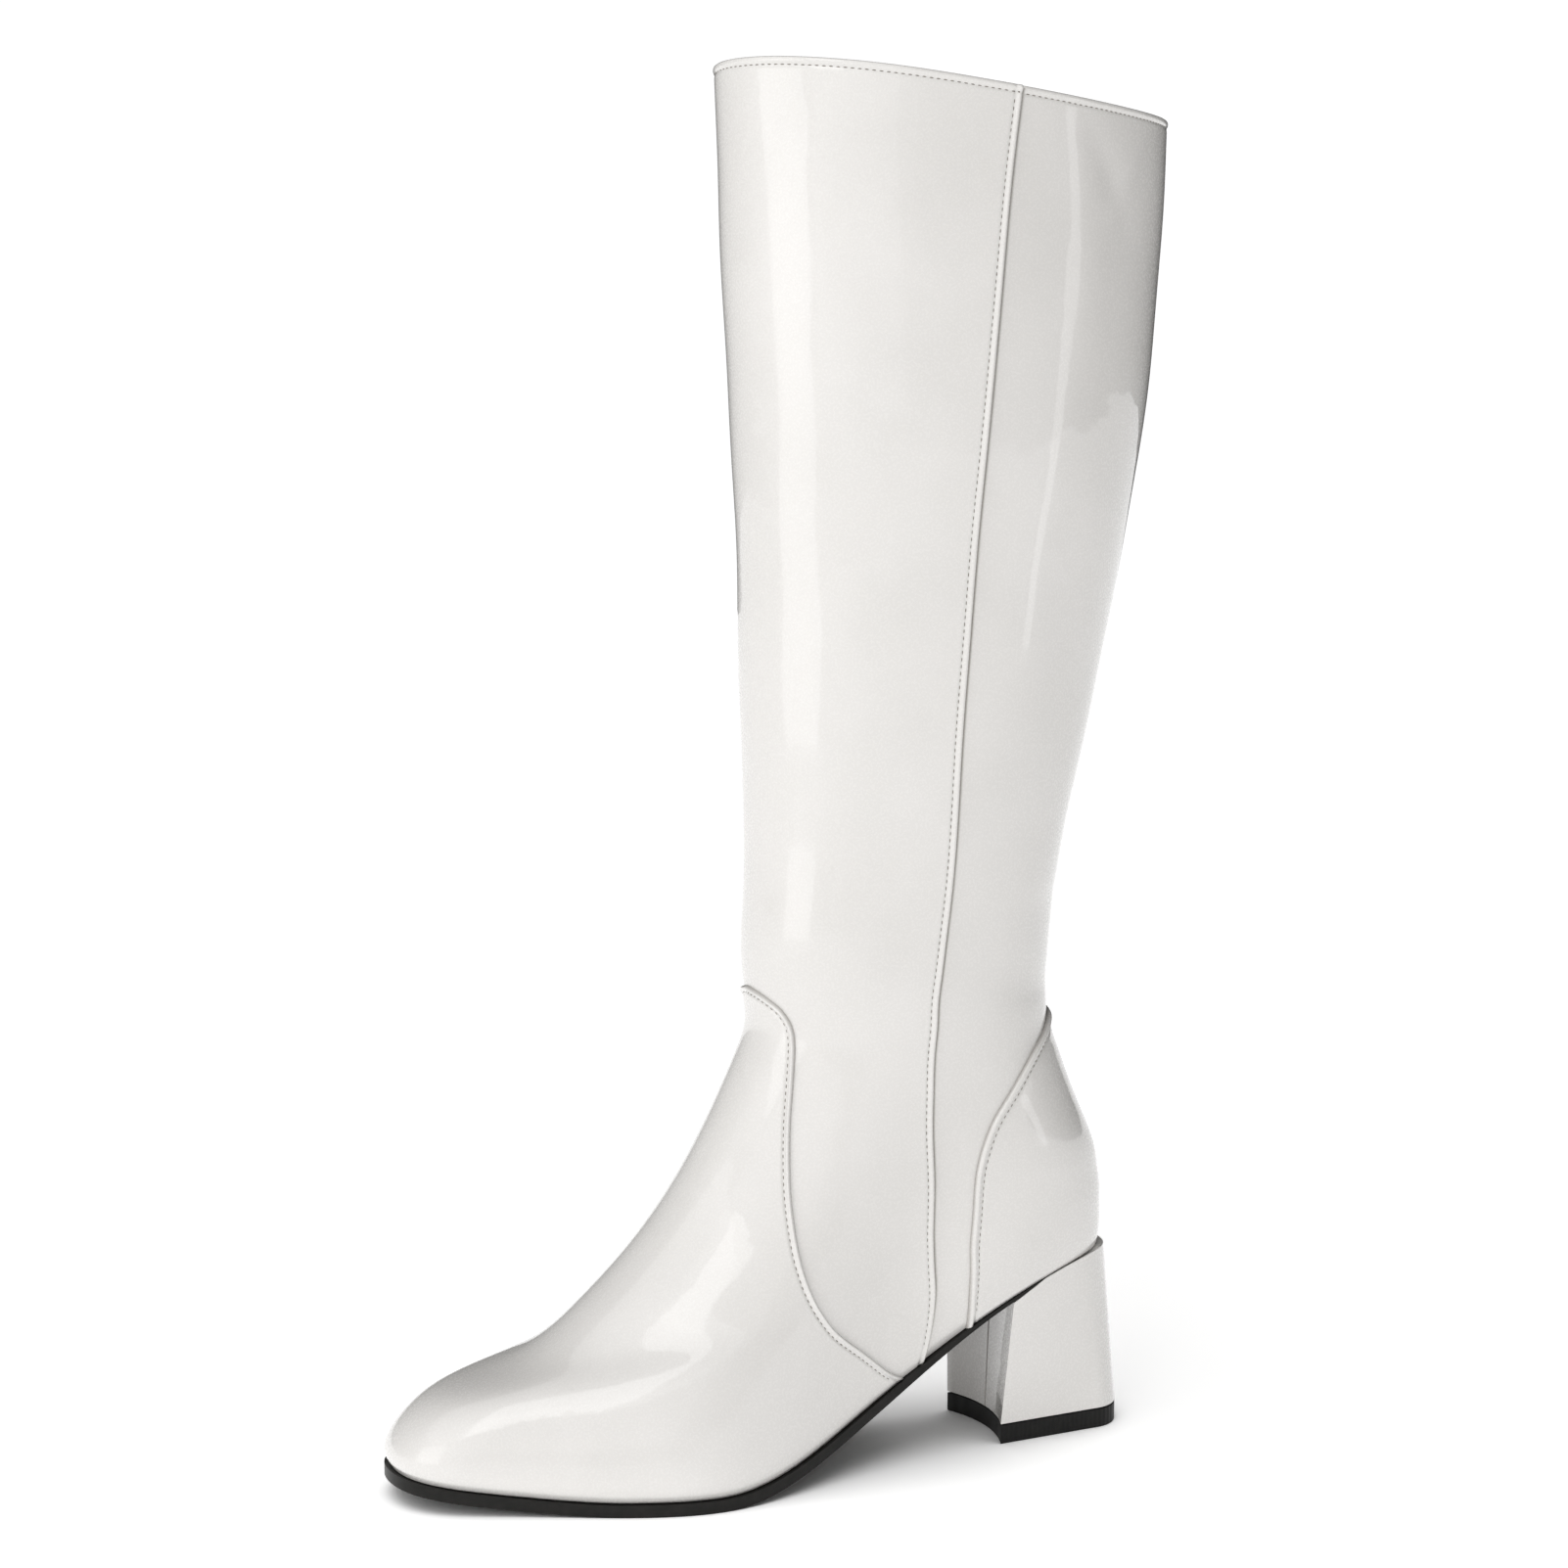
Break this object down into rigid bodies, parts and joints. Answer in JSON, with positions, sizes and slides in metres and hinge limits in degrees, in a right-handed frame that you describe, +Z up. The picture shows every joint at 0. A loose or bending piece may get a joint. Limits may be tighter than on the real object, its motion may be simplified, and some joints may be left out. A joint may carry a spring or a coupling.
{
  "type": "go go boot",
  "caption": "Knee-high patent boot with a low squared toe, side seams, lapped vamp and counter, and a flared block heel; left foot.",
  "frame": {"origin": "middle of the bounding box, on the floor under the sole", "axes": "+Z up, toe towards -Y, outer side of the left foot towards +X"},
  "size_m": [0.0898, 0.252, 0.4267],
  "materials": {
    "patent": "white patent, mirror gloss coat",
    "heel_cover": "block covered in the same white patent",
    "black_sole": "black, satin edge, fine matt tread",
    "lining": "pale woven lining"
  },
  "bodies": {
    "root": {"upper": "patent", "vamp": "patent", "counter": "patent", "heel": "heel_cover", "heel_top_piece": "black_sole", "outsole": "black_sole", "insole": "lining"}
  },
  "joints": []
}
